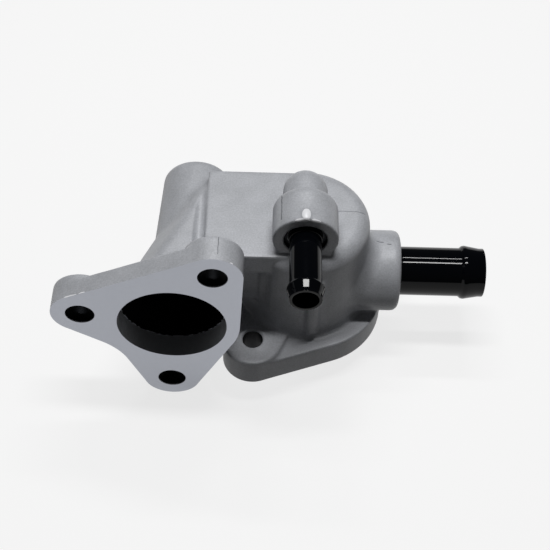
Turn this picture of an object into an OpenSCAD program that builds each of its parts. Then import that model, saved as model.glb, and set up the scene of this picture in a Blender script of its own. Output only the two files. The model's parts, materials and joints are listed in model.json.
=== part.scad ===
// Coolant housing for an engine: one aluminium casting with two pressed-in hose tubes,
// and the wax-driven valve that is clamped in its lower flange.
// Origin: on the chamber's axis, in the machined face of the lower flange.
// +Z goes up the chamber, +X along the large hose tube, and the port flange faces -Y.

/* [Chamber] */
// Outer diameter of the chamber at its flat top
chamber_d = 40.6; // [39.4:0.2:44]
// How much wider the chamber is at its foot, for mould draft
chamber_draft = 1.9; // [0:0.1:3]
// Height of the flat top above the lower face
chamber_h = 47; // [44:0.5:54]
// Diameter of the chamber's inside
chamber_bore_d = 34.4; // [34:0.2:35.4]
// Thickness of the roof
roof_t = 4.5; // [3:0.25:7]
// Rounding of the top edge
top_edge_r = 5; // [2:0.5:8]
// Reach of the flat top to the left of the chamber's axis
passage_reach = 31.2; // [29:0.2:34]
// Width of the flat top over the passage
passage_w = 34.8; // [30:0.2:38]
// Height of the lip under the flat top's front edge
lip_h = 8.2; // [6:0.2:10]
// How far the passage's wall stands back under the lip
lip_step = 2.8; // [1:0.2:4]
// Height of the passage's underside above the lower face
passage_bottom = 21; // [18:0.5:24]
// Wall round the passage
passage_wall = 4; // [3:0.25:5]

/* [Lower flange] */
// Diameter of the flange's two round ends
flange_d = 50; // [48.5:0.5:54]
// Distance of each round end's centre from the chamber's axis
flange_shift = 2.2; // [1:0.1:3]
// Thickness of the flange
flange_t = 9.5; // [7:0.25:11]
// Distance of the bolt holes from the chamber's axis
lug_dist = 27.7; // [27:0.1:31]
// Direction of the front lug from the chamber's axis
front_lug_angle = 235.2; // [230:0.1:240]
// Direction of the rear lug from the chamber's axis
rear_lug_angle = 75; // [65:1:90]
// Radius of a lug
lug_r = 9.7; // [8:0.1:11]
// Height of the pad on a lug
lug_t = 10.8; // [10:0.1:14]
// Direction of the pad's straight sides
pad_angle = 66; // [55:1:75]
// Diameter of the bolt holes
lug_hole_d = 6.6; // [5.5:0.1:9]
// Depth of the seat for the valve's seal ring
seat_depth = 4; // [3.6:0.1:5]

/* [Port flange] */
// Distance of the port's axis to the left of the chamber's axis
port_offset = 40.4; // [39:0.1:43]
// Height of the large hose tube above the lower face
axis_z = 19.5; // [18.5:0.1:21.5]
// Height of the port's axis above the lower face
port_z = 31; // [30:0.1:33]
// Distance of the port's machined face in front of the chamber's axis
port_reach = 32.2; // [30:0.1:36]
// Diameter of the port
port_d = 33.5; // [30:0.1:35]
// Depth of the port's round wall
port_depth = 7.5; // [7:0.1:9]
// Wall round the port
port_wall = 4; // [3:0.1:5]
// Thickness of the flange plate
plate_t = 6.3; // [5:0.1:7]
// Thickness at the lugs
port_lug_t = 8.7; // [7.5:0.1:11]
// Radius of the lugs
port_lug_r = 8.9; // [7.5:0.1:10]
// Diameter of the bolt holes
port_hole_d = 8.8; // [6.6:0.1:10]
// Radius of the hollow between the left and lower lugs
waist_r = 20; // [10:1:26]
// Chamfer at the bolt holes
port_hole_chamfer = 0.4; // [0.2:0.1:0.8]
// Distance of the left lug from the port's axis
left_lug_dist = 27.9; // [26.5:0.1:31]
// Direction of the left lug
left_lug_angle = 170.3; // [165:0.1:175]
// Distance of the upper lug from the port's axis
upper_lug_dist = 27.6; // [26.5:0.1:30]
// Direction of the upper lug
upper_lug_angle = 62.2; // [58:0.1:66]
// Distance of the lower lug from the port's axis
lower_lug_dist = 30.1; // [27:0.1:33]
// Direction of the lower lug
lower_lug_angle = 267.4; // [262:0.1:272]

/* [Rear barrel] */
// Distance of the barrel's axis to the left of the chamber's axis
barrel_offset = 35.8; // [34.5:0.1:37.5]
// Height of the barrel's axis
barrel_z = 30; // [28.5:0.1:31]
// Diameter of the barrel at its rear end
barrel_d = 22.4; // [20:0.2:23.4]
// How much wider the barrel is at its front
barrel_draft = 3; // [0:0.2:4]
// Distance of the barrel's rear end behind the chamber's axis
barrel_reach = 27.8; // [25:0.2:34]
// Rounding of the rear edge
barrel_edge_r = 2.5; // [1:0.25:4]
// Wall of the barrel
barrel_wall = 3; // [2.5:0.25:5]

/* [Shoulder] */
// Depth of the shoulder's crest below the flat top
shoulder_drop = 1; // [0.5:0.1:3]
// Rounding of the shoulder's edges
shoulder_edge_r = 5; // [4:0.25:6]
// Reach of the crest to the left of the flat top, at the port flange
shoulder_front_w = 15.6; // [13:0.2:16]
// Reach of the crest to the left of the flat top, at the crest's rear end
shoulder_rear_w = 0.2; // [0:0.2:3]
// Distance of the crest's rear end behind the chamber's axis
shoulder_crest_end = 8; // [4:0.5:9]
// Reach of the flank's foot to the left of the barrel's axis, at the port flange
shoulder_foot_w = 16.8; // [14:0.2:17]
// Distance of the flank's foot to the right of the barrel's axis, at its rear end
shoulder_foot_in = 3; // [1:0.2:5]
// Height of the flank's foot above the barrel's axis
shoulder_foot_rise = 4; // [2:0.5:6]
// Distance of the flank's rear end in front of the barrel's rear end
shoulder_foot_end = 9; // [7:0.5:12]
// Radius of the groove along the flat top's left edge
groove_r = 1.9; // [1.5:0.1:2.4]
// Slope of the groove, which runs out towards the rear
groove_slope = 2.5; // [1:0.1:4]

/* [Front rib] */
// Distance of the rib to the right of the chamber's axis
rib_offset = 2.9; // [0:0.1:5]
// Radius of the rib
rib_r = 2.6; // [2:0.1:4]
// How far the rib stands out of the chamber's foot
rib_proud = 0.9; // [0.5:0.1:1.5]
// Height of the rib's round foot above the lower flange
rib_rise = 4; // [3:0.5:8]

/* [Large hose tube] */
// Diameter of the tube
large_tube_d = 16; // [14:0.1:17]
// Wall of the tube
large_tube_wall = 1.2; // [0.8:0.1:2]
// Free length of the tube outside its boss
large_tube_free = 27.9; // [22:0.1:40]
// Height of the hose bead above the tube
large_bead_h = 0.85; // [0.4:0.05:1.5]
// Diameter of the boss
large_boss_d = 26.5; // [24:0.1:28]
// Distance of the boss's face from the chamber's axis
large_boss_reach = 31.5; // [29:0.1:36]
// Rounding of the boss's edge
large_boss_edge_r = 2.2; // [0.5:0.1:3]
// How much thicker the pressed-in end of a hose tube is
tube_press = 0.2; // [0.16:0.02:0.3]

/* [Small hose tube] */
// Diameter of the tube
small_tube_d = 9.7; // [8:0.1:10.5]
// Wall of the tube
small_tube_wall = 0.9; // [0.6:0.1:1.4]
// Free length of the tube outside its boss
small_tube_free = 21.8; // [16:0.1:30]
// Depth of the tube in its boss
small_tube_depth = 10.5; // [8:0.1:12]
// Height of the hose bead above the tube
small_bead_h = 0.75; // [0.3:0.05:1.2]
// Diameter of the boss
small_boss_d = 20; // [18:0.1:21]
// Distance of the tube's axis to the left of the chamber's axis
small_boss_offset = 0.6; // [-1:0.1:3]
// Height of the tube's axis above the flat top
small_boss_rise = 6.4; // [5.5:0.1:8]
// Distance of the boss's face in front of the chamber's axis
small_boss_reach = 15.9; // [15:0.1:18]
// Length of the wide part of the boss
small_boss_len = 11; // [10.6:0.1:12]
// Diameter of the boss's narrow rear end
small_nose_d = 13.8; // [12.5:0.1:15]
// Distance of the middle of the rear end's dome behind the chamber's axis
small_nose_reach = 3.3; // [2.5:0.1:5]
// Diameter of the recess in the boss's face
small_recess_d = 13; // [12:0.1:15]
// Depth of the recess in the boss's face
small_recess_depth = 2; // [1:0.1:3]
// Distance of the saddle under the boss behind the boss's face
small_saddle_back = 2; // [1:0.25:4]

/* [Wax valve] */
// Outer diameter of the seal ring
seal_d = 43.9; // [43:0.1:45]
// Inner diameter of the seal ring
seal_inner_d = 35.6; // [35:0.1:36.2]
// Diameter of the rim plate
rim_d = 41; // [39.5:0.1:42]
// Thickness of the rim plate
rim_t = 1.2; // [0.8:0.1:1.6]
// Diameter of the valve opening
valve_opening_d = 25; // [22:0.2:26]
// Diameter of the valve disc
valve_d = 27; // [26.2:0.1:27.4]
// Thickness of the valve disc
valve_t = 1.2; // [0.8:0.1:1.6]
// Lift of the open valve
valve_lift = 8; // [5:0.5:9]
// Thickness of the frame's and bridge's sheet
strip_t = 1.2; // [0.8:0.1:1.4]
// Width of the frame's and bridge's strip
strip_w = 8; // [6:0.2:9]
// Height of the frame above the rim plate
frame_h = 22; // [20:0.5:25]
// Depth of the bridge below the rim plate
bridge_h = 9.5; // [8:0.1:11]
// Diameter of the wax capsule
capsule_d = 12.4; // [11:0.1:13]
// Length of the wax capsule above the valve disc
capsule_len = 29; // [27:0.5:30]
// Diameter of the capsule's neck
neck_d = 8; // [7:0.1:9]
// Diameter of the piston
piston_d = 4; // [3:0.1:4.6]
// Length of the piston
piston_len = 25; // [22:0.5:27]
// Diameter of the spring's wire
wire_d = 1.8; // [1.2:0.1:2]
// Diameter of the spring at the middle of its wire
coil_d = 20.4; // [19:0.1:22]
// Turns of the spring
coil_turns = 4.5; // [3:0.5:6]
// Diameter of the vent hole
vent_d = 2.4; // [2:0.1:2.6]
// Play of the vent pin
vent_play = 1.4; // [0.6:0.1:1.8]

/* [Hidden] */
$fn = 96;
hull_fn = 32;

// Overlap of solids that are joined, and of cuts past a face
eps = 0.5;
// Gap between the valve disc and its seat, and under the vent pin's head
seat_gap = 0.1;
// Gap round a piece that slides in another
slide_gap = 0.08;
// Room beside a piece that passes another
side_gap = 0.3;
// How far a pad stands out of the flange outline under it
pad_skin = 0.05;

cast_colour = "#b4b6b8";
coat_colour = "#16171a";
brass_colour = "#b89a55";
steel_colour = "#9a9c9e";
rubber_colour = "#222222";

port_r = port_d / 2;
port_ring_r = port_r + port_wall;
port_back = port_reach - plate_t;
barrel_core_r = barrel_d / 2 - barrel_wall;
barrel_front_d = barrel_d + barrel_draft;
// Where the funnel behind the port becomes the barrel
funnel_end = -9;
// Step from the port's turned wall to the cast funnel
port_step = 0.4;
// How far the outer funnel stays inside the port's ring
funnel_step = 1.6;
funnel_disc_t = 1;

left_lug = left_lug_dist * [cos(left_lug_angle), sin(left_lug_angle)];
upper_lug = upper_lug_dist * [cos(upper_lug_angle), sin(upper_lug_angle)];
lower_lug = lower_lug_dist * [cos(lower_lug_angle), sin(lower_lug_angle)];
port_lugs = [left_lug, upper_lug, lower_lug];

flange_lugs = [for (turn = [front_lug_angle, rear_lug_angle]) lug_dist * [cos(turn), sin(turn)]];
flange_ends = [[flange_shift, 0], [-flange_shift, 0]];

large_tube_inner = chamber_bore_d / 2 + side_gap;
small_axis_z = chamber_h + small_boss_rise;
small_core_r = small_tube_d / 2 - small_tube_wall;

// Bead of a hose tube: its length to the tube's end, its steep rise, its crest and the plain tip,
// in shares of the tube's radius, and the height of its shoulder in shares of the bead's height
bead_len = 0.98;
bead_rise = 0.2;
bead_crest = 0.12;
bead_tip = 0.1;
bead_shoulder = 0.8;

// Levels of the wax valve
rim_bottom = (seat_depth - rim_t) / 2;
rim_top = rim_bottom + rim_t;
disc_bottom = rim_top + seat_gap;
disc_top = disc_bottom + valve_t;
frame_ring_z = rim_top + frame_h - strip_t;
bridge_z = rim_bottom - bridge_h;
leg_inner = valve_d / 2 + 3 * side_gap;
leg_outer = leg_inner + strip_t;
foot_r = seal_inner_d / 2 - side_gap;
piston_foot = bridge_z + strip_t;
neck_drop = 2;
neck_bottom = rim_bottom - neck_drop;
disc_crown = 0.6;
capsule_foot = disc_top + disc_crown;
vent_lap = 0.4;
vent_head_r = vent_d / 2 + vent_lap;
vent_head_t = 1;
vent_shank_r = vent_d / 2 - side_gap;
vent_dist = valve_d / 2 + side_gap + vent_head_r;
vent_turn = 45;

// Turns a shape that is built along +Z so that it points to the front (-Y)
module to_front() {
    rotate([90, 0, 0]) children();
}

// Turns a shape that is built along +Z so that it points to the back (+Y)
module to_back() {
    rotate([-90, 0, 0]) children();
}

// Turns a shape that is built along +Z so that it points to the right (+X)
module to_right() {
    rotate([0, 90, 0]) children();
}

// Two circles and the straight tangents on both sides
module tangent_pair(c1, r1, c2, r2) {
    step = c2 - c1;
    turn = atan2(step[1], step[0]);
    spread = acos((r1 - r2) / norm(step));
    translate(c1) circle(r1);
    translate(c2) circle(r2);
    polygon([
        c1 + r1 * [cos(turn + spread), sin(turn + spread)],
        c2 + r2 * [cos(turn + spread), sin(turn + spread)],
        c2 + r2 * [cos(turn - spread), sin(turn - spread)],
        c1 + r1 * [cos(turn - spread), sin(turn - spread)]
    ]);
}

// Round post from z = 0 to h, with draft and a rounded top edge
module drafted_post(r_foot, r_top, h, edge_r) {
    rotate_extrude() {
        polygon([[0, 0], [r_foot, 0], [r_top, h - edge_r], [r_top - edge_r, h], [0, h]]);
        translate([r_top - edge_r, h - edge_r]) circle(edge_r);
    }
}

// Outline of the port flange, round the port's axis
module port_outline() {
    for (lug = port_lugs) tangent_pair([0, 0], port_ring_r, lug, port_lug_r);
    tangent_pair(left_lug, port_lug_r, upper_lug, port_lug_r);
    waist_fill();
}

// Hollow curve that blends the sides of the left and lower lugs
module waist_fill() {
    from_left = left_lug_angle + acos((port_ring_r - port_lug_r) / left_lug_dist);
    from_lower = lower_lug_angle - acos((port_ring_r - port_lug_r) / lower_lug_dist);
    middle = (from_left + from_lower) / 2;
    spread = (from_left - from_lower) / 2;
    corner = port_ring_r / cos(spread) * [cos(middle), sin(middle)];
    centre = (port_ring_r + waist_r) / cos(spread) * [cos(middle), sin(middle)];
    run = waist_r * tan(spread);
    difference() {
        polygon([
            [0, 0],
            corner + run * [sin(from_left), -cos(from_left)],
            centre,
            corner + run * [-sin(from_lower), cos(from_lower)]
        ]);
        translate(centre) circle(waist_r);
    }
}

// The flange plate, with a thicker pad behind each lug
module port_flange() {
    translate([-port_offset, -port_back, port_z]) to_front() linear_extrude(plate_t) port_outline();
    for (lug = port_lugs)
        translate([lug[0] - port_offset, port_lug_t - port_reach, port_z + lug[1]])
            to_front() cylinder(r = port_lug_r + pad_skin, h = port_lug_t);
}

// Outline of the lower flange
module lower_outline() {
    tangent_pair(flange_ends[0], flange_d / 2, flange_ends[1], flange_d / 2);
    for (lug = flange_lugs, end = flange_ends) tangent_pair(end, flange_d / 2, lug, lug_r);
}

// Raised pad that runs from a lug to the chamber's wall
module lug_pad(lug) {
    pad_r = lug_r + pad_skin;
    pad_run = norm(lug) - chamber_d / 4;
    inward = lug[1] < 0 ? pad_angle : pad_angle + 180;
    translate(lug) linear_extrude(lug_t) {
        circle(pad_r);
        rotate(inward) translate([0, -pad_r]) square([pad_run, 2 * pad_r]);
    }
}

// Boss of the large hose tube
module large_boss() {
    r = large_boss_d / 2;
    translate([0, 0, axis_z]) to_right() drafted_post(r, r, large_boss_reach, large_boss_edge_r);
}

// Boss of the small hose tube: a wide front part, a narrow domed rear end and a saddle under both
module small_boss() {
    nose_r = small_nose_d / 2;
    shoulder_r = (small_boss_d - small_nose_d) / 2;
    step_y = small_boss_len - small_boss_reach;
    translate([-small_boss_offset, step_y, small_axis_z]) {
        to_front() cylinder(d = small_boss_d, h = small_boss_len);
        to_back() drafted_post(small_boss_d / 2, small_boss_d / 2, shoulder_r, 0.97 * shoulder_r);
    }
    translate([-small_boss_offset, small_nose_reach, small_axis_z]) {
        to_front() cylinder(r = nose_r, h = small_nose_reach - step_y + eps);
        sphere(r = nose_r);
    }
    saddle_len = small_boss_reach - small_saddle_back + small_nose_reach;
    translate([-small_boss_offset - nose_r, small_saddle_back - small_boss_reach, chamber_h - eps])
        cube([small_nose_d, saddle_len, small_boss_rise + eps]);
}

// Flat-topped passage between the port and the chamber, with a lip along its top
module passage() {
    low_w = passage_w - 2 * lip_step;
    low_reach = passage_reach + passage_wall;
    translate([-passage_reach, -passage_w / 2, chamber_h - lip_h]) cube([passage_reach, passage_w, lip_h]);
    translate([-low_reach, -low_w / 2, passage_bottom])
        cube([low_reach, low_w, chamber_h - lip_h - passage_bottom + eps]);
}

// Sloping shoulder between the passage and the barrel. Its left flank leans back to the barrel's rear,
// and its crest lies just under the flat top.
module shoulder() {
    crest_z = chamber_h - shoulder_drop - shoulder_edge_r;
    foot_z = barrel_z + shoulder_foot_rise;
    right_x = shoulder_edge_r - passage_reach;
    front_y = eps - port_back;
    corners = [
        [-passage_reach - shoulder_front_w, front_y, crest_z],
        [-passage_reach - shoulder_rear_w, shoulder_crest_end, crest_z],
        [right_x, front_y, crest_z],
        [right_x, shoulder_crest_end + shoulder_edge_r, crest_z],
        [-barrel_offset - shoulder_foot_w, front_y, foot_z],
        [shoulder_foot_in - barrel_offset, barrel_reach - shoulder_foot_end, foot_z],
        [right_x, front_y, barrel_z]
    ];
    hull() for (corner = corners) translate(corner) sphere(r = shoulder_edge_r, $fn = hull_fn);
}

// Groove in the shoulder's crest, along the flat top's left edge
module shoulder_groove() {
    translate([-passage_reach - groove_r, 0, chamber_h])
        rotate([90 + groove_slope, 0, 0]) cylinder(r = groove_r, h = 3 * port_back, center = true);
}

// Barrel behind the port, closed at its rear end
module rear_barrel() {
    translate([-barrel_offset, funnel_end, barrel_z])
        to_back() drafted_post(barrel_front_d / 2, barrel_d / 2, barrel_reach - funnel_end, barrel_edge_r);
}

// Funnel between two discs: one behind the port flange, and one just inside the barrel's front end
module funnel(front_r, front_y, end_r) {
    hull() {
        translate([-port_offset, front_y, port_z])
            to_front() cylinder(r = front_r, h = funnel_disc_t, $fn = 2 * hull_fn);
        translate([-barrel_offset, funnel_end + funnel_disc_t, barrel_z])
            to_front() cylinder(r = end_r, h = funnel_disc_t, $fn = 2 * hull_fn);
    }
}

// Upright rib on the front of the chamber, with a round foot
module front_rib() {
    foot_z = flange_t + rib_rise;
    translate([rib_offset, rib_r - rib_proud - (chamber_d + chamber_draft) / 2, foot_z]) {
        cylinder(r = rib_r, h = chamber_h - lip_h - foot_z);
        sphere(r = rib_r);
    }
}

// Everything that the coolant flows through, as one core
module water_core() {
    core_w = passage_w - 2 * lip_step - 2 * passage_wall;
    core_bottom = passage_bottom + passage_wall;
    core_top = chamber_h - roof_t;
    translate([0, 0, seat_depth - eps]) cylinder(d = chamber_bore_d, h = core_top - seat_depth + eps);
    translate([-barrel_offset, -core_w / 2, core_bottom])
        cube([barrel_offset, core_w, core_top - core_bottom]);
    translate([-port_offset, port_depth - port_reach, port_z])
        to_front() cylinder(r = port_r, h = port_depth + eps);
    funnel(port_r - port_step, port_depth - port_reach + eps, barrel_core_r - port_step);
    translate([-barrel_offset, funnel_end - eps, barrel_z])
        to_back() cylinder(r = barrel_core_r, h = barrel_reach - barrel_wall - funnel_end + eps);
    translate([-small_boss_offset, 0, core_top - eps])
        cylinder(r = small_core_r, h = small_boss_rise + roof_t + eps);
    translate([-small_boss_offset, small_core_r, small_axis_z])
        to_front() cylinder(r = small_core_r, h = small_boss_reach + small_core_r);
}

module housing_casting() {
    color(cast_colour) difference() {
        union() {
            linear_extrude(flange_t) lower_outline();
            for (lug = flange_lugs) lug_pad(lug);
            drafted_post((chamber_d + chamber_draft) / 2, chamber_d / 2, chamber_h, top_edge_r);
            large_boss();
            small_boss();
            passage();
            difference() {
                shoulder();
                shoulder_groove();
            }
            rear_barrel();
            funnel(port_ring_r - funnel_step, eps - port_back, barrel_front_d / 2 - port_step);
            port_flange();
            front_rib();
        }
        water_core();
        // Seat of the seal ring
        translate([0, 0, -eps]) cylinder(d = seal_d + seat_gap, h = seat_depth + eps);
        // Bolt holes of the lower flange
        for (lug = flange_lugs)
            translate([lug[0], lug[1], -eps]) cylinder(d = lug_hole_d, h = lug_t + 2 * eps);
        // Bolt holes of the port flange, with a chamfer at the face
        for (lug = port_lugs) translate([lug[0] - port_offset, -port_reach, port_z + lug[1]]) {
            translate([0, port_lug_t + eps, 0])
                to_front() cylinder(d = port_hole_d, h = port_lug_t + 2 * eps);
            translate([0, port_hole_chamfer, 0])
                to_front() cylinder(r1 = port_hole_d / 2, r2 = port_hole_d / 2 + 2 * port_hole_chamfer,
                                    h = 2 * port_hole_chamfer);
        }
        // Holes of the hose tubes
        translate([0, 0, axis_z])
            to_right() cylinder(r = large_tube_d / 2 + tube_press, h = large_boss_reach + eps);
        translate([-small_boss_offset, small_tube_depth - small_boss_reach, small_axis_z])
            to_front() cylinder(r = small_tube_d / 2 + tube_press, h = small_tube_depth + eps);
        translate([-small_boss_offset, small_recess_depth - small_boss_reach, small_axis_z])
            to_front() cylinder(d = small_recess_d, h = small_recess_depth + eps);
    }
}

// Hose tube along +Z, pressed in up to the boss's face: the bead rises steeply to a short round crest
// and runs out in a cone to the rounded end
module beaded_tube(d, wall, pressed_len, free_len, bead_h) {
    r = d / 2;
    len = pressed_len + free_len;
    bead_start = len - bead_len * r;
    crest_start = bead_start + bead_rise * r;
    crest_end = crest_start + bead_crest * r;
    cone_end = len - wall / 2 - bead_tip * r;
    rotate_extrude() {
        translate([r - wall, 0]) square([wall, len - wall / 2]);
        translate([r - wall, 0]) square([wall + tube_press, pressed_len]);
        polygon([
            [r - wall, bead_start], [r, bead_start],
            [r + bead_shoulder * bead_h, (bead_start + crest_start) / 2],
            [r + bead_h, crest_start], [r + bead_h, crest_end], [r, cone_end], [r - wall, cone_end]
        ]);
        translate([r - wall / 2, len - wall / 2]) circle(wall / 2);
    }
}

module large_hose_tube() {
    pressed_len = large_boss_reach - large_tube_inner;
    color(coat_colour) translate([large_tube_inner, 0, axis_z]) to_right()
        beaded_tube(large_tube_d, large_tube_wall, pressed_len, large_tube_free, large_bead_h);
}

module small_hose_tube() {
    inner_y = small_tube_depth - small_boss_reach;
    color(coat_colour) translate([-small_boss_offset, inner_y, small_axis_z]) to_front()
        beaded_tube(small_tube_d, small_tube_wall, small_tube_depth, small_tube_free, small_bead_h);
}

// Rubber ring with a groove for the rim plate
module seal_ring() {
    color(rubber_colour) difference() {
        rotate_extrude() difference() {
            translate([seal_inner_d / 2, seat_gap])
                square([(seal_d - seal_inner_d) / 2, seat_depth - seat_gap]);
            translate([seal_inner_d / 2 - eps, rim_bottom])
                square([(rim_d - seal_inner_d) / 2 + eps, rim_t]);
        }
        // Room for the vent pin where the ring is narrow
        rotate(vent_turn) translate([vent_dist, 0, -eps])
            cylinder(r = vent_head_r + side_gap, h = seat_depth + 2 * eps);
    }
}

module rim_plate() {
    color(brass_colour) difference() {
        translate([0, 0, rim_bottom]) cylinder(d = rim_d, h = rim_t);
        translate([0, 0, rim_bottom - eps]) cylinder(d = valve_opening_d, h = rim_t + 2 * eps);
        rotate(vent_turn) translate([vent_dist, 0, rim_bottom - eps])
            cylinder(d = vent_d, h = rim_t + 2 * eps);
    }
}

// Stirrup of bent strip on the chamber side, with a ring that guides the capsule
module upper_frame() {
    color(steel_colour) difference() {
        union() {
            for (side = [0, 180]) rotate(side) translate([-strip_w / 2, 0, 0]) {
                translate([0, leg_inner, rim_top]) cube([strip_w, foot_r - leg_inner, strip_t]);
                translate([0, leg_inner, rim_top]) cube([strip_w, strip_t, frame_h]);
                translate([0, 0, frame_ring_z]) cube([strip_w, leg_outer, strip_t]);
            }
            translate([0, 0, frame_ring_z]) cylinder(d = coil_d + 2 * wire_d, h = strip_t);
        }
        translate([0, 0, frame_ring_z - eps])
            cylinder(r = capsule_d / 2 + slide_gap, h = strip_t + 2 * eps);
        // The feet follow the round of the seal ring
        difference() {
            translate([0, 0, rim_top - eps]) cylinder(r = 2 * foot_r, h = strip_t + 2 * eps);
            translate([0, 0, rim_top - 2 * eps]) cylinder(r = foot_r, h = strip_t + 4 * eps);
        }
    }
}

// Stirrup of bent strip on the engine side, with a cup for the piston's tip
module lower_bridge() {
    cup_r = piston_d / 2 + 1.5 * strip_t;
    bend = strip_t / 3;
    color(steel_colour) difference() {
        union() {
            translate([0, strip_w / 2, 0]) to_front() linear_extrude(strip_w) polygon([
                [-foot_r, rim_bottom], [-foot_r, rim_bottom - strip_t], [-leg_outer, rim_bottom - strip_t],
                [-cup_r, bridge_z], [cup_r, bridge_z], [leg_outer, rim_bottom - strip_t],
                [foot_r, rim_bottom - strip_t], [foot_r, rim_bottom], [leg_inner, rim_bottom],
                [cup_r - bend, piston_foot], [bend - cup_r, piston_foot], [-leg_inner, rim_bottom]
            ]);
            translate([0, 0, bridge_z]) cylinder(r = cup_r, h = 3 * strip_t);
        }
        translate([0, 0, piston_foot]) cylinder(d = piston_d, h = bridge_h);
        // The feet follow the round of the seal ring
        difference() {
            translate([0, 0, bridge_z - eps]) cylinder(r = 2 * foot_r, h = bridge_h + 2 * eps);
            translate([0, 0, bridge_z - 2 * eps]) cylinder(r = foot_r, h = bridge_h + 4 * eps);
        }
    }
}

module valve_disc() {
    r = valve_d / 2;
    seat_w = 1.6;
    color(brass_colour) difference() {
        rotate_extrude() polygon([
            [0, disc_bottom], [r, disc_bottom], [r, disc_top], [r - seat_w, disc_top],
            [r - seat_w - disc_crown, disc_top + disc_crown], [0, disc_top + disc_crown]
        ]);
        translate([0, 0, disc_bottom - eps]) cylinder(d = neck_d, h = valve_t + disc_crown + 2 * eps);
    }
}

// Turned cup with a crimped collar on the valve disc, and a bore for the piston
module wax_capsule() {
    r = capsule_d / 2;
    collar_r = r + 1.6;
    collar_h = 2.2;
    collar_slope = 0.8;
    top_z = capsule_foot + capsule_len;
    top_chamfer = 2;
    color(brass_colour) rotate_extrude() difference() {
        union() {
            translate([0, neck_bottom]) square([neck_d / 2, capsule_foot - neck_bottom + eps]);
            polygon([
                [0, capsule_foot], [collar_r, capsule_foot], [collar_r, capsule_foot + collar_h],
                [r, capsule_foot + collar_h + collar_slope], [r, top_z - top_chamfer],
                [r - top_chamfer, top_z], [0, top_z]
            ]);
        }
        translate([-eps, neck_bottom - eps])
            square([piston_d / 2 + slide_gap + eps, piston_foot + piston_len - neck_bottom + 2 * eps]);
    }
}

module piston_pin() {
    color(steel_colour) translate([0, 0, piston_foot]) cylinder(d = piston_d, h = piston_len);
}

// Point on the spring's centre line, for a share of its length from 0 to 1
function coil_point(share, foot, rise) = [
    coil_d / 2 * cos(360 * coil_turns * share),
    coil_d / 2 * sin(360 * coil_turns * share),
    foot + rise * share
];

// Coil spring from the valve disc to the frame, swept as rings of points
module main_spring() {
    sides = 8;
    rings = ceil(coil_turns * 18);
    foot = disc_top + disc_crown + wire_d / 2 + seat_gap;
    rise = frame_ring_z - wire_d / 2 - seat_gap - foot;
    points = [
        for (i = [0 : rings], j = [0 : sides - 1])
            let (
                centre = coil_point(i / rings, foot, rise),
                outward = [centre[0], centre[1], 0] / norm([centre[0], centre[1]])
            )
            centre + wire_d / 2 * (outward * cos(360 * j / sides) + [0, 0, sin(360 * j / sides)])
    ];
    walls = [
        for (i = [0 : rings - 1], j = [0 : sides - 1])
            let (k = (j + 1) % sides)
            [i * sides + j, (i + 1) * sides + j, (i + 1) * sides + k, i * sides + k]
    ];
    ends = [
        [for (j = [0 : sides - 1]) j],
        [for (j = [0 : sides - 1]) rings * sides + sides - 1 - j]
    ];
    color(steel_colour) polyhedron(points, concat(walls, ends));
}

// Loose pin that lets air through the rim plate
module vent_pin() {
    head_z = rim_top + seat_gap;
    shank_len = rim_t + vent_play + 2 * seat_gap;
    color(brass_colour) rotate(vent_turn) translate([vent_dist, 0, 0]) {
        translate([0, 0, head_z]) cylinder(r = vent_head_r, h = vent_head_t);
        translate([0, 0, head_z - shank_len]) cylinder(r = vent_shank_r, h = shank_len + vent_head_t / 2);
        translate([0, 0, head_z - shank_len - vent_head_t]) cylinder(r = vent_head_r, h = vent_head_t);
    }
}

housing_casting();
large_hose_tube();
small_hose_tube();
seal_ring();
rim_plate();
upper_frame();
lower_bridge();
valve_disc();
wax_capsule();
piston_pin();
main_spring();
vent_pin();
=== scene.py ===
import json
import math

import bmesh
import bpy
from mathutils import Matrix, Vector


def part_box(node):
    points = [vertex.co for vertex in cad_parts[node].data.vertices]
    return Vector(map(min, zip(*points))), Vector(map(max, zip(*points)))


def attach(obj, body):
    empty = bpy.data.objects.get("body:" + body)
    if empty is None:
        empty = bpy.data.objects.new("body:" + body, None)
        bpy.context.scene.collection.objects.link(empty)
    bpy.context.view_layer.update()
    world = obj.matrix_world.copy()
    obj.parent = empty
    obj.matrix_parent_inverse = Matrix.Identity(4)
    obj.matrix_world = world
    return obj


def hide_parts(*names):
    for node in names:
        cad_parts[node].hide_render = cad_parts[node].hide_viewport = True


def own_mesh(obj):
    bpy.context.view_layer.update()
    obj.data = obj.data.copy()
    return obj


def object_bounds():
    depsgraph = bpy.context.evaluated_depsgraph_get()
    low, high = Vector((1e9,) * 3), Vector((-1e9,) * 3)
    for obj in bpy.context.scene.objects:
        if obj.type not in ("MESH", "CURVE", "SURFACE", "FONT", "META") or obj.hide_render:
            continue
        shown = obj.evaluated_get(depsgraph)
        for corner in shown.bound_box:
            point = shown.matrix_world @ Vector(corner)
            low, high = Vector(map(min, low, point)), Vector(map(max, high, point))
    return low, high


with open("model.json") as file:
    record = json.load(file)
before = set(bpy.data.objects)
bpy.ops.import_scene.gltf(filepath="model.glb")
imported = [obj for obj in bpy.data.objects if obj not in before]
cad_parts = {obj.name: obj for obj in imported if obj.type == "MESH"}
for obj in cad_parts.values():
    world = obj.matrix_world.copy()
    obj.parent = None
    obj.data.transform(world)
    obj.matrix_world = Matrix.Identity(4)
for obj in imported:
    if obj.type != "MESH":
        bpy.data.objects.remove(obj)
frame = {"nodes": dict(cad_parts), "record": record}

cad_low, cad_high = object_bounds()

# Camera: a lens of about 73 mm that stands in front of the part and looks down on it,
# turned a little about its own axis, as the photograph was taken.
MM = 0.001
camera_place = Vector((-13.37, -224.37, 311.78)) * MM
camera_turn = math.radians(-1.12)
camera_height = math.radians(52.88)
camera_roll = math.radians(2.41)
camera_lens = 72.92
camera_near = 10 * MM

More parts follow.
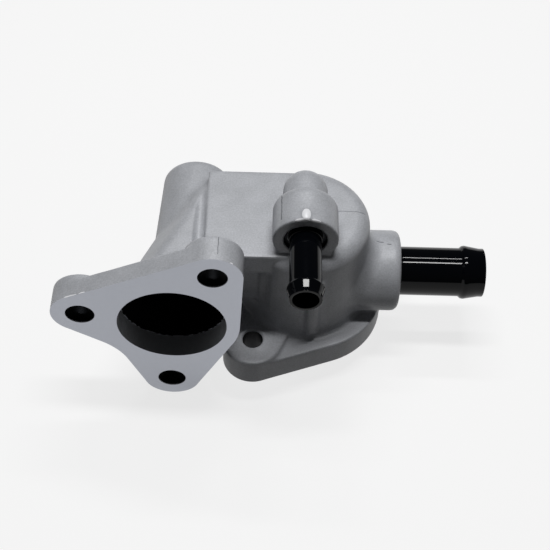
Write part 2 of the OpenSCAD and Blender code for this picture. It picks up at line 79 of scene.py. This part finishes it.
towards_camera = Vector((
    math.sin(camera_turn) * math.cos(camera_height),
    -math.cos(camera_turn) * math.cos(camera_height),
    math.sin(camera_height),
))
level_right = Vector((math.cos(camera_turn), math.sin(camera_turn), 0))
level_up = towards_camera.cross(level_right)
camera_right = level_right * math.cos(camera_roll) + level_up * math.sin(camera_roll)
camera_up = level_up * math.cos(camera_roll) - level_right * math.sin(camera_roll)
camera = bpy.data.objects.new("camera", bpy.data.cameras.new("camera"))
camera.data.lens = camera_lens
camera.data.clip_start = camera_near
camera.matrix_world = (
    Matrix.Translation(camera_place)
    @ Matrix((camera_right, camera_up, towards_camera)).transposed().to_4x4()
)
bpy.context.scene.collection.objects.link(camera)
bpy.context.scene.camera = camera
bpy.context.scene.view_settings.view_transform = "Standard"


# Studio: a wide matt white table just under the part, in a dim room, and two long lamps side by side
# overhead and a little behind, which leave two thin lines on the black tubes.
def linear(hex_colour):
    """sRGB hex to a linear RGBA colour."""
    channels = [int(hex_colour[i:i + 2], 16) / 255 for i in (1, 3, 5)]
    return [c / 12.92 if c <= 0.04045 else ((c + 0.055) / 1.055) ** 2.4 for c in channels] + [1.0]


def add_node(tree, kind, links=None, values=None, **settings):
    """Adds a node: settings are its properties, values and links are what goes into its inputs."""
    node = tree.nodes.new(kind)
    for name, value in settings.items():
        setattr(node, name, value)
    for name, value in (values or {}).items():
        node.inputs[name].default_value = value
    for name, socket in (links or {}).items():
        tree.links.new(socket, node.inputs[name])
    return node


def new_material(name):
    """A material with an empty tree."""
    material = bpy.data.materials.new(name)
    material.use_nodes = True
    material.node_tree.nodes.clear()
    return material, material.node_tree


def background_rays(tree):
    """1 for the rays that show the background: camera, glossy and transmission rays."""
    path = add_node(tree, "ShaderNodeLightPath")
    seen = add_node(tree, "ShaderNodeMath", operation="MAXIMUM",
                    links={0: path.outputs["Is Camera Ray"], 1: path.outputs["Is Glossy Ray"]})
    return add_node(tree, "ShaderNodeMath", operation="MAXIMUM",
                    links={0: seen.outputs[0], 1: path.outputs["Is Transmission Ray"]}).outputs[0]


def new_object(name, bm, *materials):
    """Makes a bmesh an object at the origin, with these materials."""
    mesh = bpy.data.meshes.new(name)
    bm.to_mesh(mesh)
    bm.free()
    made = bpy.data.objects.new(name, mesh)
    for material in materials:
        mesh.materials.append(material)
    bpy.context.scene.collection.objects.link(made)
    return made


table_reach = 12.0
table_gap = 0.1 * MM
table_white = "#fafafa"
table_bounce = "#303030"
table_glow = 0.8
room_glow = 0.05
lamp_distance = 650 * MM
lamp_len = 360 * MM

# Matt white table: an even pale ground that keeps the part's shadow. It shows white by a glow of its own,
# but throws little light back, so that the part's walls fall off to dark greys.
table_paint, tree = new_material("matt white table")
lit = add_node(tree, "ShaderNodeBsdfDiffuse", values={"Color": linear(table_white)})
glowing = add_node(tree, "ShaderNodeEmission", values={"Color": linear(table_white)})
shown = add_node(tree, "ShaderNodeMixShader", values={0: table_glow},
                 links={1: lit.outputs[0], 2: glowing.outputs[0]})
bounced = add_node(tree, "ShaderNodeBsdfDiffuse", values={"Color": linear(table_bounce)})
mixed = add_node(tree, "ShaderNodeMixShader",
                 links={0: background_rays(tree), 1: bounced.outputs[0], 2: shown.outputs[0]})
add_node(tree, "ShaderNodeOutputMaterial", links={"Surface": mixed.outputs[0]})

bm = bmesh.new()
bmesh.ops.create_grid(bm, x_segments=1, y_segments=1, size=table_reach)
bmesh.ops.translate(bm, verts=bm.verts, vec=(0, 0, cad_low.z - table_gap))
new_object("table", bm, table_paint)

room = bpy.data.worlds.new("dim room")
room.use_nodes = True
tree = room.node_tree
tree.nodes.clear()
glow = add_node(tree, "ShaderNodeBackground", values={"Color": (1, 1, 1, 1), "Strength": room_glow})
add_node(tree, "ShaderNodeOutputWorld", links={"Surface": glow.outputs[0]})
bpy.context.scene.world = room


def long_lamp(name, lean, width, power):
    """A long lamp across the part, leaning back from overhead by an angle in degrees."""
    lamp = bpy.data.lights.new(name, "AREA")
    lamp.shape = "RECTANGLE"
    lamp.size = lamp_len
    lamp.size_y = width
    lamp.energy = power
    made = bpy.data.objects.new(name, lamp)
    towards = Vector((0, math.sin(math.radians(lean)), math.cos(math.radians(lean))))
    made.location = (cad_low + cad_high) / 2 + towards * lamp_distance
    made.rotation_mode = "QUATERNION"
    made.rotation_quaternion = towards.to_track_quat("Z", "Y")
    bpy.context.scene.collection.objects.link(made)


long_lamp("front lamp", lean=4, width=50 * MM, power=2.6)
long_lamp("rear lamp", lean=28, width=25 * MM, power=1.3)

# Housing: one aluminium casting, blasted, with small fillets in its inner corners and soft outer edges.
# The port's face, the lower face and the bolt holes are machined after casting.
nodes = frame["nodes"]
mounts = {mount["name"]: mount for mount in frame["record"]["mounts"]}
fillet_r = 0.35 * MM
voxel = 0.35 * MM
smooth_passes = 2
blend_voxel = 0.7 * MM
most_triangles = 180000
machining_spare = 1.5 * MM
round_steps = 128
merge_gap = 0.001 * MM


def joined(tree, masks, operation):
    """One mask from several: MAXIMUM is 1 where any of them is 1, and MINIMUM where all are."""
    total = masks[0]
    for mask in masks[1:]:
        total = add_node(tree, "ShaderNodeMath", operation=operation, links={0: total, 1: mask}).outputs[0]
    return total


def thin_box(tree, axes, centre, half):
    """1 inside a box, given by its centre and half its size in mm, and 0 outside: a line on the surface."""
    between_sides = [
        add_node(tree, "ShaderNodeMath", operation="COMPARE", links={0: axes.outputs[axis]},
                 values={1: middle * MM, 2: reach * MM}).outputs[0]
        for axis, middle, reach in zip("XYZ", centre, half)
    ]
    return joined(tree, between_sides, "MINIMUM")


def spot(tree, coords, centre, radii):
    """1 inside an egg shape, given by its centre and its radii in mm, and 0 outside."""
    centred = add_node(tree, "ShaderNodeVectorMath", operation="SUBTRACT", links={0: coords},
                       values={1: [value * MM for value in centre]}).outputs[0]
    scaled = add_node(tree, "ShaderNodeVectorMath", operation="DIVIDE", links={0: centred},
                      values={1: [value * MM for value in radii]}).outputs[0]
    reach = add_node(tree, "ShaderNodeVectorMath", operation="LENGTH", links={0: scaled}).outputs["Value"]
    inside = add_node(tree, "ShaderNodeMath", operation="LESS_THAN", links={0: reach}, values={1: 1.0})
    return inside.outputs[0]


def blasted_skin():
    """Blasted cast aluminium: a dull, even grey with a fine grain and pale clouds, thin dark mould seams,
    bright marks where it was fettled, and a painted highlight along the small boss face's top rim."""
    # The blasted surface scatters light much as grey paint does, so it is hardly metallic.
    material, tree = new_material("blasted cast aluminium")
    dark_grey = "#999b9f"
    pale_grey = "#b5b7bc"
    seam_grey = "#74767a"
    fettled_and_highlight_white = "#e2e3e6"
    # The real grain is about 0.2 mm. It is drawn coarser, so that it shows.
    grain_mm = 0.5
    cloud_mm = 6.0
    cloud_share = 0.35
    waver_mm = 1.5
    waver_reach = 0.5 * MM
    # Seams: the middle of each and half its size, in mm.
    seams_mm = [
        ((14.0, 1.6, 46.0), (4.5, 0.13, 3.0)),
        ((-26.0, -27.0, 63.0), (0.13, 3.2, 1.5)),
        ((-8.0, -8.0, 59.5), (0.15, 5.5, 2.0)),
        ((24.5, 1.2, 32.6), (1.2, 0.2, 0.8)),
        ((27.4, 0.4, 32.6), (0.7, 0.25, 0.8)),
    ]
    # Fettled spots, and two spots of painted highlight along the small boss face's top rim: the middle of
    # each and its radii, in mm.
    fettled_and_highlight_mm = [
        ((-0.8, -14.0, 64.0), (1.4, 2.3, 1.0)),
        # These two are painted highlight: a pale band along the small boss face's top rim, where its edge
        # catches the lamps.
        ((-2.2, -15.8, 63.0), (2.4, 0.4, 0.9)),
        ((2.2, -15.8, 62.8), (1.6, 0.35, 0.9)),
        ((-22.6, -32.1, 62.2), (1.0, 0.6, 0.6)),
        ((-70.0, -32.1, 44.9), (2.6, 0.35, 1.5)),
        ((-66.0, -32.1, 46.4), (1.2, 0.3, 0.9)),
    ]
    coords = add_node(tree, "ShaderNodeTexCoord").outputs["Object"]
    grain = add_node(tree, "ShaderNodeTexNoise", links={"Vector": coords},
                     values={"Scale": 1 / (grain_mm * MM), "Detail": 3.0}).outputs["Fac"]
    cloud = add_node(tree, "ShaderNodeTexNoise", links={"Vector": coords},
                     values={"Scale": 1 / (cloud_mm * MM), "Detail": 2.0}).outputs["Fac"]
    both = add_node(tree, "ShaderNodeMix", links={"A": grain, "B": cloud},
                    values={"Factor": cloud_share}).outputs[0]
    tone = add_node(tree, "ShaderNodeValToRGB", links={"Fac": both})
    dark, light = tone.color_ramp.elements
    dark.position, light.position = 0.3, 0.7
    dark.color, light.color = linear(dark_grey), linear(pale_grey)
    # The marks' coordinates waver a little, so that no line is ruler-straight.
    waver = add_node(tree, "ShaderNodeTexNoise", links={"Vector": coords},
                     values={"Scale": 1 / (waver_mm * MM)}).outputs["Color"]
    shift = add_node(tree, "ShaderNodeVectorMath", operation="MULTIPLY_ADD", links={0: waver, 2: coords},
                     values={1: (waver_reach,) * 3}).outputs[0]
    level = add_node(tree, "ShaderNodeVectorMath", operation="SUBTRACT", links={0: shift},
                     values={1: (waver_reach / 2,) * 3}).outputs[0]
    axes = add_node(tree, "ShaderNodeSeparateXYZ", links={0: level})
    seam = joined(tree, [thin_box(tree, axes, *place) for place in seams_mm], "MAXIMUM")
    bright = joined(tree, [spot(tree, level, *place) for place in fettled_and_highlight_mm], "MAXIMUM")
    # A Mix node's colours are its inputs 6 and 7 and its output 2.
    colour = tone.outputs[0]
    # The pale colour paints the fettled marks and also the painted highlight on the small boss's rim.
    for mask, mark_colour in ((seam, seam_grey), (bright, fettled_and_highlight_white)):
        colour = add_node(tree, "ShaderNodeMix", data_type="RGBA", links={0: mask, 6: colour},
                          values={7: linear(mark_colour)}).outputs[2]
    bump = add_node(tree, "ShaderNodeBump", links={"Height": grain},
                    values={"Strength": 0.4, "Distance": 0.06 * MM}).outputs[0]
    shader = add_node(tree, "ShaderNodeBsdfPrincipled", links={"Base Color": colour, "Normal": bump},
                      values={"Metallic": 0.04, "Roughness": 0.42, "Specular IOR Level": 0.35})
    add_node(tree, "ShaderNodeOutputMaterial", links={"Surface": shader.outputs[0]})
    return material


def cut_metal(name, colour, roughness):
    """Machined or bare aluminium: even, with fine marks that vary its sheen a little."""
    material, tree = new_material(name)
    # Real cutter marks are about 0.2 mm apart. They are drawn coarser, so that they show.
    mark_mm = 1.2
    sheen_change = 0.05
    coords = add_node(tree, "ShaderNodeTexCoord").outputs["Object"]
    marks = add_node(tree, "ShaderNodeTexNoise", links={"Vector": coords},
                     values={"Scale": 1 / (mark_mm * MM), "Detail": 4.0}).outputs["Fac"]
    gloss = add_node(tree, "ShaderNodeMapRange", links={"Value": marks},
                     values={"To Min": roughness - sheen_change,
                             "To Max": roughness + sheen_change}).outputs[0]
    bump = add_node(tree, "ShaderNodeBump", links={"Height": marks},
                    values={"Strength": 0.2, "Distance": 0.01 * MM}).outputs[0]
    shader = add_node(tree, "ShaderNodeBsdfPrincipled", links={"Roughness": gloss, "Normal": bump},
                      values={"Base Color": linear(colour), "Metallic": 1.0})
    add_node(tree, "ShaderNodeOutputMaterial", links={"Surface": shader.outputs[0]})
    return material


# Milled faces are pale and smooth, with a soft sheen. The port's turned wall is rougher and duller.
# Drilled holes are painted near black as painted shade, with a faint gleam on the far wall, and the walls
# that the core left are painted near black as painted shade too.
cast_aluminium = blasted_skin()
milled_aluminium = cut_metal("milled aluminium", "#b0b3bb", 0.4)
# Painted shade: the drilled walls are coloured near black for the shade inside the holes.
drilled_painted_shade = cut_metal("drilled aluminium in painted shade", "#17181a", 0.5)
turned_aluminium = cut_metal("turned aluminium", "#b0b2b6", 0.75)
# Painted shade: the walls of the water ways inside are coloured near black for the shade in them.
core_painted_shade = cut_metal("cored aluminium in painted shade", "#0a0a0b", 0.7)


def merged_copy(node):
    """A copy of a CAD node's mesh with its loose triangles joined."""
    bm = bmesh.new()
    bm.from_mesh(nodes[node].data)
    bmesh.ops.remove_doubles(bm, verts=bm.verts, dist=merge_gap)
    bmesh.ops.recalc_face_normals(bm, faces=bm.faces)
    return bm


def add_modifier(piece, kind, **settings):
    """Adds a modifier with its settings."""
    modifier = piece.modifiers.new(kind.lower(), kind)
    for name, value in settings.items():
        setattr(modifier, name, value)


def apply_modifiers(piece):
    """Replaces a piece's mesh by what its modifiers make of it."""
    graph = bpy.context.evaluated_depsgraph_get()
    old = piece.data
    mesh = bpy.data.meshes.new_from_object(piece.evaluated_get(graph), preserve_all_data_layers=True,
                                           depsgraph=graph)
    piece.modifiers.clear()
    piece.data = mesh
    bpy.data.meshes.remove(old)


def roll_ball(piece, radius, cell):
    """Fills a piece's inner corners as a ball rolled along them would."""
    add_modifier(piece, "REMESH", mode="VOXEL", voxel_size=cell)
    for strength in (radius, -radius):
        add_modifier(piece, "DISPLACE", strength=strength, mid_level=0)
        add_modifier(piece, "REMESH", mode="VOXEL", voxel_size=cell)
    apply_modifiers(piece)


def boolean(piece, tool, operation):
    """Joins a tool to a piece or cuts it out of it, and leaves the tool's material on the cut."""
    add_modifier(piece, "BOOLEAN", operation=operation, object=tool, solver="MANIFOLD",
                 material_mode="TRANSFER")
    apply_modifiers(piece)
    bpy.data.objects.remove(tool)


def block(first, last):
    """A box between two opposite corners."""
    bm = bmesh.new()
    size = Vector(last) - Vector(first)
    bmesh.ops.create_cube(bm, size=1)
    bmesh.ops.scale(bm, verts=bm.verts, vec=size)
    bmesh.ops.translate(bm, verts=bm.verts, vec=Vector(first) + size / 2)
    return bm


def smooth_shaded(piece, sharp_angle=35):
    """Shades a piece smooth, apart from edges sharper than an angle in degrees."""
    piece.data.polygons.foreach_set("use_smooth", [True] * len(piece.data.polygons))
    piece.data.set_sharp_from_angle(angle=math.radians(sharp_angle))
    return piece


# The rough casting has spare metal on its two flat faces and the stub of a gate on the small boss.
low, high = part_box("housing_casting")
port_y = mounts["port_face"]["pos_m"][1]
port_right = -26.5 * MM
port_foot = 11.5 * MM
port_back = -22 * MM
flat = 0.02 * MM
gate_place = Vector((-0.8, -14.0, 63.3)) * MM
gate_size = (1.5 * MM, 2.2 * MM, 0.8 * MM)
rough = merged_copy("housing_casting")
for vert in rough.verts:
    if vert.co.y < port_y + flat and (vert.co.x < port_right or vert.co.z > port_foot):
        vert.co.y -= machining_spare
    if abs(vert.co.z) < flat and (vert.co.x > port_right or vert.co.y > port_back):
        vert.co.z -= machining_spare
bmesh.ops.create_icosphere(rough, subdivisions=3, radius=1,
                           matrix=Matrix.Translation(gate_place) @ Matrix.Diagonal((*gate_size, 1)))
casting = new_object("housing", rough.copy(), cast_aluminium)
roll_ball(casting, fillet_r, voxel)


def blend_in(first, last, radius):
    """Rolls a larger ball along the rough casting's corners between two opposite corners of a box."""
    blend = new_object("blend", rough.copy())
    roll_ball(blend, radius, blend_voxel)
    boolean(blend, new_object("tool", block(first, last)), "INTERSECT")
    boolean(casting, blend, "UNION")


def turned(profile, place, axis, closed=False):
    """A turned shape: its profile is a list of radius and distance along the axis."""
    bm = bmesh.new()
    points = list(profile) if closed else [(0, profile[0][1]), *profile, (0, profile[-1][1])]
    verts = [bm.verts.new((radius, 0, along)) for radius, along in points]
    edges = [bm.edges.new(pair) for pair in zip(verts, verts[1:] + verts[:1] if closed else verts[1:])]
    bmesh.ops.spin(bm, geom=verts + edges, cent=(0, 0, 0), axis=(0, 0, 1), angle=math.tau, steps=round_steps,
                   use_merge=True)
    bmesh.ops.remove_doubles(bm, verts=bm.verts, dist=merge_gap)
    bmesh.ops.recalc_face_normals(bm, faces=bm.faces)
    turn = Vector(axis).to_track_quat("Z", "X").to_matrix().to_4x4()
    bmesh.ops.transform(bm, verts=bm.verts, matrix=Matrix.Translation(place) @ turn)
    return bm


# Larger balls blend the large boss into the chamber, and the shoulder into the barrel and the flange.
boss_box = Vector((9, -19, 13.5)) * MM, Vector((27, 19, 41)) * MM
boss_blend_r = 3.5 * MM
shoulder_box = Vector((-47, -27, 24)) * MM, Vector((-27, 26, 50)) * MM
shoulder_blend_r = 2 * MM
blend_in(*boss_box, boss_blend_r)
blend_in(*shoulder_box, shoulder_blend_r)
rough.free()

# The ball fills the groove along the flat top's left edge, so the groove is cut again. It rises by 2.5
# degrees towards the rear, and has a round nose where the funnel begins.
groove_r = 1.9 * MM
groove_place = (-33.1 * MM, 0, 47 * MM)
groove_axis = (0, 0.999, 0.0436)
groove_front = -17.5 * MM
groove_rear = 20 * MM
nose_steps = 8
nose_turns = [math.pi / 2 * (step + 1) / nose_steps for step in range(nose_steps)]
groove_nose = [
    (groove_r * math.sin(turn), groove_front + groove_r * (1 - math.cos(turn)))
    for turn in nose_turns
]
groove_cutter = turned([*groove_nose, (groove_r, groove_rear)], groove_place, groove_axis)
boolean(casting, new_object("tool", groove_cutter), "DIFFERENCE")
add_modifier(casting, "REMESH", mode="VOXEL", voxel_size=voxel)
add_modifier(casting, "SMOOTH", factor=0.5, iterations=smooth_passes)
apply_modifiers(casting)
add_modifier(casting, "DECIMATE", ratio=min(1, most_triangles / (2 * len(casting.data.polygons))))
apply_modifiers(casting)


def cut(bm, material):
    """Cuts a shape out of the casting."""
    boolean(casting, new_object("tool", bm, material), "DIFFERENCE")


# The spare metal is milled off the port's face and the lower face, and the holes of the mounts are cut.
clear = 4 * MM
cut(block((low.x - clear, port_y - clear, port_foot), (0, port_y, high.z + clear)), milled_aluminium)
cut(block((low.x - clear, port_y - clear, low.z - clear), (port_right, port_y, port_foot + clear)),
    milled_aluminium)
cut(block((port_right, low.y - clear, -clear), (high.x + clear, port_back, 0)), milled_aluminium)
cut(block((low.x / 2, port_back, -clear), (high.x + clear, high.y + clear, 0)), milled_aluminium)
# The bolt holes' walls get the near-black painted shade of drilled holes.
for name, mount in mounts.items():
    if mount["kind"] == "bore":
        radius = mount["dims"]["r_mm"] * MM
        half = mount["dims"]["length_mm"] * MM / 2
        inner, wall = (half, turned_aluminium) if name == "port" else (half + clear, drilled_painted_shade)
        cut(turned([(radius, -inner), (radius, half + clear)], mount["pos_m"], mount["axis"]), wall)

# The valve's seat, the tubes' holes, and the recess round the small tube.
seat_r = 22.0 * MM
seat_depth = 4.0 * MM
large_tube_r = 8.0 * MM
small_tube_r = 4.85 * MM
press_step = 0.2 * MM
fit_gap = 0.03 * MM
large_hole_r = large_tube_r + press_step + fit_gap
small_hole_r = small_tube_r + press_step + fit_gap
large_hole_depth = 14 * MM
small_hole_depth = 10.5 * MM
recess_r = 6.5 * MM
recess_depth = 2.0 * MM
large_boss_x = 31.5 * MM
small_boss_y = -15.9 * MM
large_pos = mounts["large_hose"]["pos_m"]
small_pos = mounts["small_hose"]["pos_m"]
cut(turned([(seat_r, -clear), (seat_r, seat_depth)], (0, 0, 0), (0, 0, 1)), milled_aluminium)
# The tubes' holes and the recess round the small tube get the same near-black painted shade.
cut(turned([(large_hole_r, -large_hole_depth), (large_hole_r, clear)], (large_boss_x, 0, large_pos[2]),
           (1, 0, 0)), drilled_painted_shade)
cut(turned([(small_hole_r, -small_hole_depth), (small_hole_r, -recess_depth), (recess_r, -recess_depth),
            (recess_r, clear)], (small_pos[0], small_boss_y, small_pos[2]), (0, -1, 0)), drilled_painted_shade)

# The water ways inside: the chamber, the passage to the barrel, the barrel, and the funnel behind the port.
# Their walls are painted near black as painted shade, also on the cutter's end face just past the port's
# turned wall.
wall_spread = 0.8 * MM
core_top = 42.5 * MM
chamber_r = 17.2 * MM
chamber_foot = 0.3 * MM
passage_half = 10.6 * MM
passage_left = -31 * MM
passage_foot = 25 * MM
barrel_x = -35.8 * MM
barrel_z = 30 * MM
barrel_r = 8.2 * MM
barrel_front = -12 * MM
barrel_rear = 24.8 * MM
port_x, _, port_z = mounts["port"]["pos_m"]
port_r = mounts["port"]["dims"]["r_mm"] * MM
port_wall_len = 7.4 * MM
funnel_front = -24.7 * MM
funnel_rear = -8 * MM
funnel_end_r = 7.8 * MM
funnel_paint_front = -31 * MM
funnel_paint_rear = -7 * MM


def in_core(polygon):
    """Whether a face lies on the walls of the water ways.
    The funnel's own wall is thin, so there the face has to look inwards too."""
    x, y, z = polygon.center
    along = min(max((y - funnel_front) / (funnel_rear - funnel_front), 0), 1)
    funnel_r = port_r + (funnel_end_r - port_r) * along
    out_x = x - port_x - (barrel_x - port_x) * along
    out_z = z - port_z - (barrel_z - port_z) * along
    faces_in = polygon.normal.x * out_x + polygon.normal.z * out_z < 0
    under_roof = z < core_top + wall_spread
    in_chamber = math.hypot(x, y) < chamber_r + wall_spread and z > chamber_foot and under_roof
    in_passage = (abs(y) < passage_half + wall_spread and passage_left < x < 0
                  and z > passage_foot - wall_spread and under_roof)
    in_barrel = (math.hypot(x - barrel_x, z - barrel_z) < barrel_r + wall_spread
                 and barrel_front < y < barrel_rear + wall_spread)
    in_funnel = (math.hypot(out_x, out_z) < funnel_r + wall_spread
                 and funnel_paint_front < y < funnel_paint_rear and faces_in)
    return in_chamber or in_passage or in_barrel or in_funnel


# The walls of the water ways get the near-black painted shade.
casting.data.materials.append(core_painted_shade)
core_shade_slot = len(casting.data.materials) - 1
port_end = port_y + port_wall_len
for polygon in casting.data.polygons:
    if (polygon.material_index == 0 or polygon.center.y > port_end) and in_core(polygon):
        polygon.material_index = core_shade_slot
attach(smooth_shaded(casting), "housing")
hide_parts("housing_casting")


# Hose tubes: two steel tubes with a rolled bead, dipped in gloss black and pressed into their bosses.
# Each bead rises steeply and runs out in a cone, so that the hose slides on and stays.
def gloss_coat():
    """Gloss black dip coat: deep black, with thin sharp lamp lines that waver as a dipped film does."""
    material, tree = new_material("gloss black dip coat")
    wave_mm = 2.5
    coords = add_node(tree, "ShaderNodeTexCoord").outputs["Object"]
    waves = add_node(tree, "ShaderNodeTexNoise", links={"Vector": coords},
                     values={"Scale": 1 / (wave_mm * MM), "Detail": 2.0}).outputs["Fac"]
    gloss = add_node(tree, "ShaderNodeMapRange", links={"Value": waves},
                     values={"To Min": 0.04, "To Max": 0.08}).outputs[0]
    bump = add_node(tree, "ShaderNodeBump", links={"Height": waves},
                    values={"Strength": 0.1, "Distance": 0.03 * MM}).outputs[0]
    shader = add_node(tree, "ShaderNodeBsdfPrincipled", links={"Roughness": gloss, "Normal": bump},
                      values={"Base Color": linear("#040508"), "IOR": 1.45, "Specular IOR Level": 0.18})
    add_node(tree, "ShaderNodeOutputMaterial", links={"Surface": shader.outputs[0]})
    return material


def rounded(bm, radius, steps=4, sharp_angle=25):
    """Rounds a shape's sharp edges."""
    edges = [edge for edge in bm.edges if edge.calc_face_angle(0) > math.radians(sharp_angle)]
    bmesh.ops.bevel(bm, geom=edges, offset=radius, segments=steps, profile=0.5, affect="EDGES",
                    clamp_overlap=True, material=-1)
    return bm


def hose_tube(name, node, axis, radius, wall, bead_h, start, pressed_len, length):
    """Replaces a tube's node by a smooth turned one, from its inner end along an axis."""
    edge_r = 0.3 * MM
    # The bead's lengths follow the tube's radius. Its steep side has most of its height halfway up.
    bead = length - 0.98 * radius
    rise_len = 0.2 * radius
    rise_share = 0.8
    crest = bead + rise_len
    end_len = 0.1 * radius + wall / 2
    cone_len = length - end_len - crest
    # Rings close to the ends of the long faces keep their shading straight, and the lamp lines with it.
    boss_ring = pressed_len + 1.5 * MM
    bead_ring = bead - 1.0 * MM
    ring_share = 0.15
    profile = [
        (radius - wall, 0), (radius + press_step, 0), (radius + press_step, pressed_len),
        (radius, pressed_len), (radius, boss_ring), (radius, bead_ring), (radius, bead),
        (radius + rise_share * bead_h, bead + rise_len / 2), (radius + bead_h, crest),
        (radius + (1 - ring_share) * bead_h, crest + ring_share * cone_len),
        (radius + ring_share * bead_h, crest + (1 - ring_share) * cone_len),
        (radius, crest + cone_len), (radius, length), (radius - wall, length),
    ]
    piece = new_object(name, rounded(turned(profile, start, axis, closed=True), edge_r), black_coat)
    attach(smooth_shaded(piece), "housing")
    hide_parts(node)


black_coat = gloss_coat()
tube_low, tube_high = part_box("large_hose_tube")
hose_tube("large_tube", "large_hose_tube", mounts["large_hose"]["axis"],
          radius=large_tube_r, wall=1.2 * MM, bead_h=0.85 * MM,
          start=(tube_low.x, 0, large_pos[2]),
          pressed_len=large_boss_x - tube_low.x, length=tube_high.x - tube_low.x)
tube_low, tube_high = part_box("small_hose_tube")
hose_tube("small_tube", "small_hose_tube", mounts["small_hose"]["axis"],
          radius=small_tube_r, wall=0.9 * MM, bead_h=0.75 * MM,
          start=(small_pos[0], tube_high.y, small_pos[2]),
          pressed_len=tube_high.y - small_boss_y, length=tube_high.y - tube_low.y)


# Rim plate and valve disc: stamped from brass sheet. The plate has the valve's opening and the vent's hole,
# and the spring presses the disc on the opening's edge from above.
def worked_metal(name, colour, roughness, grain_mm, stretch):
    """Stamped, bent, drawn or turned metal: a satin sheen with a fine grain.
    An axis with a stretch below 1 has its grain drawn out, and one above 1 has it packed."""
    material, tree = new_material(name)
    sheen_change = 0.1
    coords = add_node(tree, "ShaderNodeTexCoord").outputs["Object"]
    drawn = add_node(tree, "ShaderNodeVectorMath", operation="MULTIPLY", links={0: coords},
                     values={1: stretch}).outputs[0]
    grain = add_node(tree, "ShaderNodeTexNoise", links={"Vector": drawn},
                     values={"Scale": 1 / (grain_mm * MM), "Detail": 4.0}).outputs["Fac"]
    gloss = add_node(tree, "ShaderNodeMapRange", links={"Value": grain},
                     values={"To Min": roughness - sheen_change,
                             "To Max": roughness + sheen_change}).outputs[0]
    shade = add_node(tree, "ShaderNodeMapRange", links={"Value": grain},
                     values={"To Min": 0.85, "To Max": 1.1}).outputs[0]
    tone = add_node(tree, "ShaderNodeHueSaturation", links={"Value": shade},
                    values={"Color": linear(colour)}).outputs[0]
    bump = add_node(tree, "ShaderNodeBump", links={"Height": grain},
                    values={"Strength": 0.2, "Distance": 0.02 * MM}).outputs[0]
    shader = add_node(tree, "ShaderNodeBsdfPrincipled", values={"Metallic": 1.0},
                      links={"Base Color": tone, "Roughness": gloss, "Normal": bump})
    add_node(tree, "ShaderNodeOutputMaterial", links={"Surface": shader.outputs[0]})
    return material


def dress(material, *pieces):
    """Gives CAD nodes their finish."""
    for piece in pieces:
        for slot in nodes[piece].material_slots:
            slot.material = material


# Stamped sheet is a mottled soft yellow. Its real grain is under 0.1 mm, as on the metals below: all of
# them are drawn coarser, so that they show.
dress(worked_metal("stamped brass", "#b4934f", roughness=0.35, grain_mm=0.6, stretch=(1, 1, 1)),
      "rim_plate", "valve_disc")

# Wax capsule and vent pin: turned from brass bar, which leaves fine rings round them and a brighter yellow.
# The capsule is fixed in the disc and slides on the piston, and the pin hangs loose in the plate's hole.
dress(worked_metal("turned brass", "#bd9b55", roughness=0.3, grain_mm=0.5, stretch=(0.1, 0.1, 4)),
      "wax_capsule", "vent_pin")

# Upper frame, lower bridge and piston: steel strip, bent to two stirrups, and a steel pin. Rolling leaves
# a grey sheen with fine lines along the strip. The frame carries the spring, and the bridge the piston.
dress(worked_metal("bent strip steel", "#9b9c9e", roughness=0.35, grain_mm=0.4, stretch=(0.15, 1, 1)),
      "upper_frame", "lower_bridge", "piston_pin")


# Seal ring: moulded black rubber that clasps the rim plate's edge and seals the valve's seat.
# It is matt, with the fine grain of its mould.
def moulded_rubber():
    """Moulded rubber: matt black, with a fine grain that greys it a little."""
    material, tree = new_material("moulded rubber")
    # The real grain is about 0.1 mm. It is drawn coarser, so that it shows.
    grain_mm = 0.4
    coords = add_node(tree, "ShaderNodeTexCoord").outputs["Object"]
    grain = add_node(tree, "ShaderNodeTexNoise", links={"Vector": coords},
                     values={"Scale": 1 / (grain_mm * MM), "Detail": 3.0}).outputs["Fac"]
    tone = add_node(tree, "ShaderNodeValToRGB", links={"Fac": grain})
    dark, light = tone.color_ramp.elements
    dark.color, light.color = linear("#0d0e0f"), linear("#1d1e20")
    bump = add_node(tree, "ShaderNodeBump", links={"Height": grain},
                    values={"Strength": 0.3, "Distance": 0.03 * MM}).outputs[0]
    shader = add_node(tree, "ShaderNodeBsdfPrincipled", links={"Base Color": tone.outputs[0], "Normal": bump},
                      values={"Roughness": 0.7})
    add_node(tree, "ShaderNodeOutputMaterial", links={"Surface": shader.outputs[0]})
    return material


dress(moulded_rubber(), "seal_ring")

# Main spring: drawn steel wire wound round the capsule. It presses the disc on its seat from the frame's
# ring above, and shortens as the valve lifts.
wire_r = 0.9 * MM
wire_sides = 16
coil_r = 10.2 * MM
coil_turns = 4.5
steps_per_turn = 48
frame_seat = 23.3 * MM
coil_low = 5.5 * MM
coil_high = frame_seat - wire_r
coil_steps = round(coil_turns * steps_per_turn)

# Drawn wire is a darker, smoother grey than the strip, with fine lines that follow the coil.
spring_wire = worked_metal("drawn spring wire", "#8a8b8e", roughness=0.3, grain_mm=0.3, stretch=(1, 1, 6))
bm = bmesh.new()
wire_end = Matrix.Translation((coil_r, 0, coil_low)) @ Matrix.Rotation(math.pi / 2, 4, "X")
step_rise = (coil_high - coil_low) / coil_steps
bmesh.ops.create_circle(bm, segments=wire_sides, radius=wire_r, cap_ends=True, matrix=wire_end)
bmesh.ops.spin(bm, geom=bm.verts[:] + bm.edges[:] + bm.faces[:], cent=(0, 0, 0), axis=(0, 0, 1),
               dvec=(0, 0, step_rise), angle=coil_turns * math.tau, steps=coil_steps)
bmesh.ops.remove_doubles(bm, verts=bm.verts, dist=merge_gap)
bmesh.ops.recalc_face_normals(bm, faces=bm.faces)
spring = smooth_shaded(new_object("spring", bm, spring_wire))
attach(spring, "housing")
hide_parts("main_spring")
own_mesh(spring)
